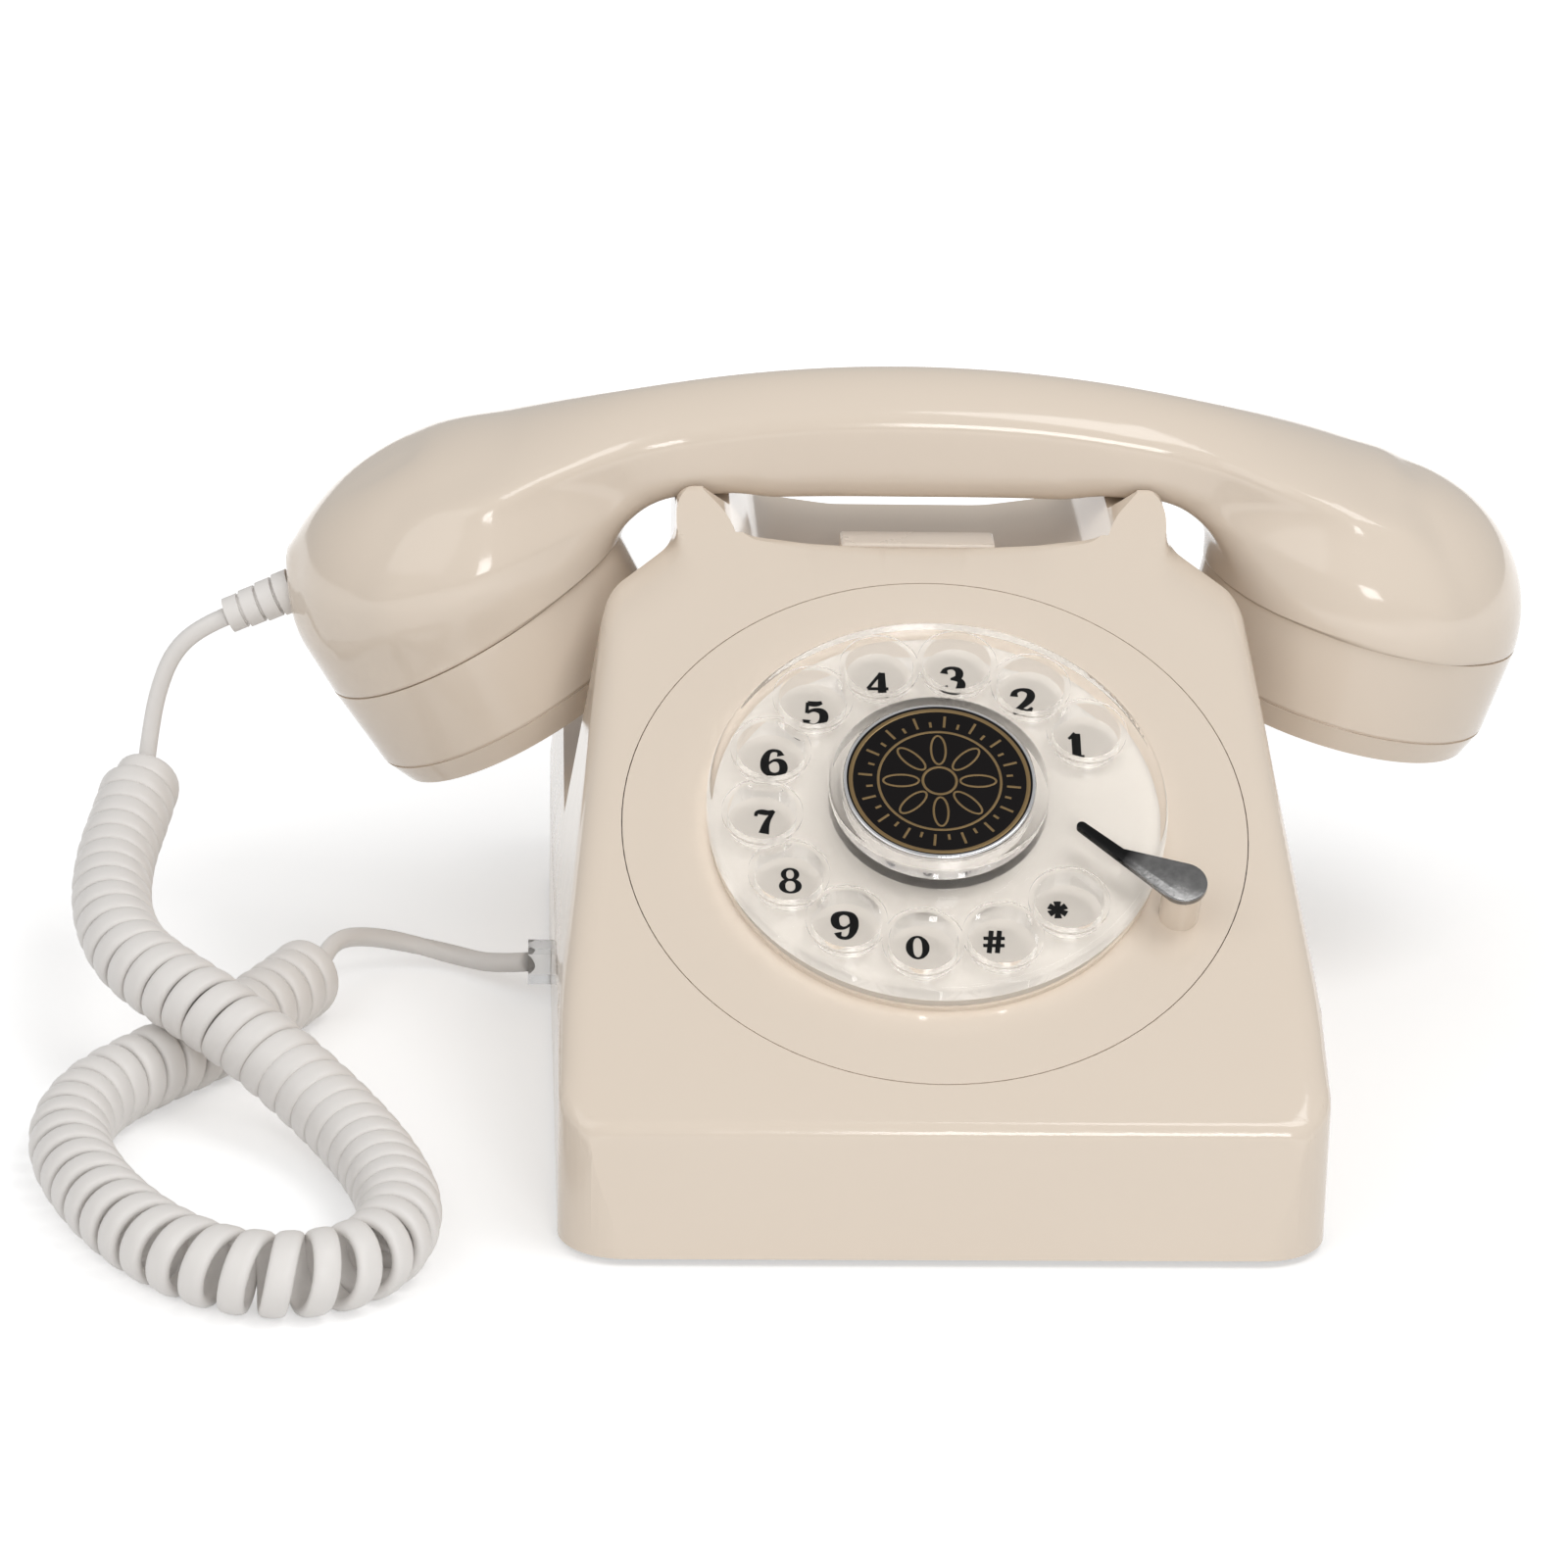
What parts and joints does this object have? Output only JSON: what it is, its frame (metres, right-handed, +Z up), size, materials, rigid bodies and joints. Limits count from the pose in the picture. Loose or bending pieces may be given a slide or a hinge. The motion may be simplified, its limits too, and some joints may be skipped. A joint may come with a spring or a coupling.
{
  "type": "rotary telephone",
  "caption": "Desk telephone with a clear rotary dial on a sloping face, a handset across a horned cradle and a curly cord looped at its side.",
  "frame": {"origin": "on the table, under the middle of the case", "axes": "+X to the user's right along the handset, +Y to the back, +Z up"},
  "size_m": [0.2887, 0.2279, 0.124],
  "materials": {
    "case_plastic": "glossy moulded cream plastic",
    "clear_plastic": "clear moulded plastic",
    "number_plate": "satin off-white plate with black digits",
    "chrome": "bright chrome",
    "badge": "gloss black",
    "steel": "plated steel",
    "brass": "plain brass",
    "rubber": "matt black rubber",
    "cord_plastic": "soft near-white plastic",
    "board": "green circuit board",
    "component": "black component plastic",
    "winding": "varnished copper winding",
    "inner_plastic": "plain inner plastic",
    "clear_plug": "clear plug plastic"
  },
  "bodies": {
    "base": {"case": "case_plastic", "base_plate": "steel", "rubber_feet": "rubber", "base_screws": "steel", "dial_surround": "case_plastic", "number_plate": "number_plate", "finger_stop": "chrome", "dial_chassis": "steel", "dial_pillars": "steel", "dial_bridge": "steel", "return_spring": "steel", "pulse_contact_block": "component", "pulse_contact_leaves": "steel", "lever_pivot_pin": "steel", "button_spring": "steel", "switch_board": "board", "board_hangers": "inner_plastic", "ringer_gongs": "brass", "gong_screws": "steel", "ringer_coil": "winding", "ringer_yoke": "steel", "clapper_pin": "steel", "circuit_board": "board", "line_transformer": "steel", "capacitors": "steel", "terminal_block": "component", "board_chips": "component", "cord_jack": "component", "line_jack": "component", "cord_plug": "clear_plug", "cord_upper_lead": "cord_plastic", "cord_curl": "cord_plastic", "cord_lower_lead": "cord_plastic"},
    "dial_rotor": {"finger_wheel": "clear_plastic", "centre_ring": "chrome", "centre_badge": "badge", "dial_spindle": "steel", "wheel_screw": "steel", "drive_gear": "brass", "pulse_cam": "inner_plastic"},
    "governor": {"governor": "steel", "governor_pinion": "brass"},
    "handset": {"handset_shell": "case_plastic", "mouthpiece_cap": "case_plastic", "earpiece_cap": "case_plastic", "microphone_capsule": "component", "receiver_capsule": "component", "handset_weight": "steel", "strain_relief": "cord_plastic"},
    "plungers": {"hook_plungers": "inner_plastic"},
    "hook_lever": {"hook_lever": "inner_plastic"},
    "button": {"recall_button": "case_plastic"},
    "clapper": {"clapper": "steel"}
  },
  "joints": [
    {"name": "dial_turn", "type": "hinge", "parent": "base", "child": "dial_rotor", "pos_m": [0, -0.04013, 0.06172], "axis": [0, -0.521, 0.8536], "range_deg": [-330, 0], "stiffness_Nm_per_rad": 0.004},
    {"name": "governor_spin", "type": "hinge", "parent": "base", "child": "governor", "pos_m": [-0.01969, -0.04796, 0.05694], "axis": [0, -0.521, 0.8536], "range_deg": [0, 1650]},
    {"name": "handset_lift", "type": "slide", "parent": "base", "child": "handset", "axis": [0, 0, 1], "range_m": [0, 0.06]},
    {"name": "plunger_rise", "type": "slide", "parent": "base", "child": "plungers", "axis": [0, 0, 1], "range_m": [0, 0.004]},
    {"name": "lever_swing", "type": "hinge", "parent": "base", "child": "hook_lever", "pos_m": [0, 0.064, 0.076], "axis": [-1, 0, 0], "range_deg": [0, 10.02]},
    {"name": "button_press", "type": "slide", "parent": "base", "child": "button", "axis": [0, 0, -1], "range_m": [0, 0.0025], "stiffness_N_per_m": 300, "deforming": ["button_spring"]},
    {"name": "clapper_swing", "type": "hinge", "parent": "base", "child": "clapper", "pos_m": [0, 0.036, 0.018], "axis": [0, 0, 1], "range_deg": [-2.8, 2.8], "stiffness_Nm_per_rad": 0.002}
  ],
  "couplings": [
    {"joint": "governor_spin", "follows": "dial_turn", "ratio": -5},
    {"joint": "plunger_rise", "follows": "handset_lift", "ratio": 0.066667},
    {"joint": "lever_swing", "follows": "handset_lift", "rad_per_m": 2.9131}
  ]
}
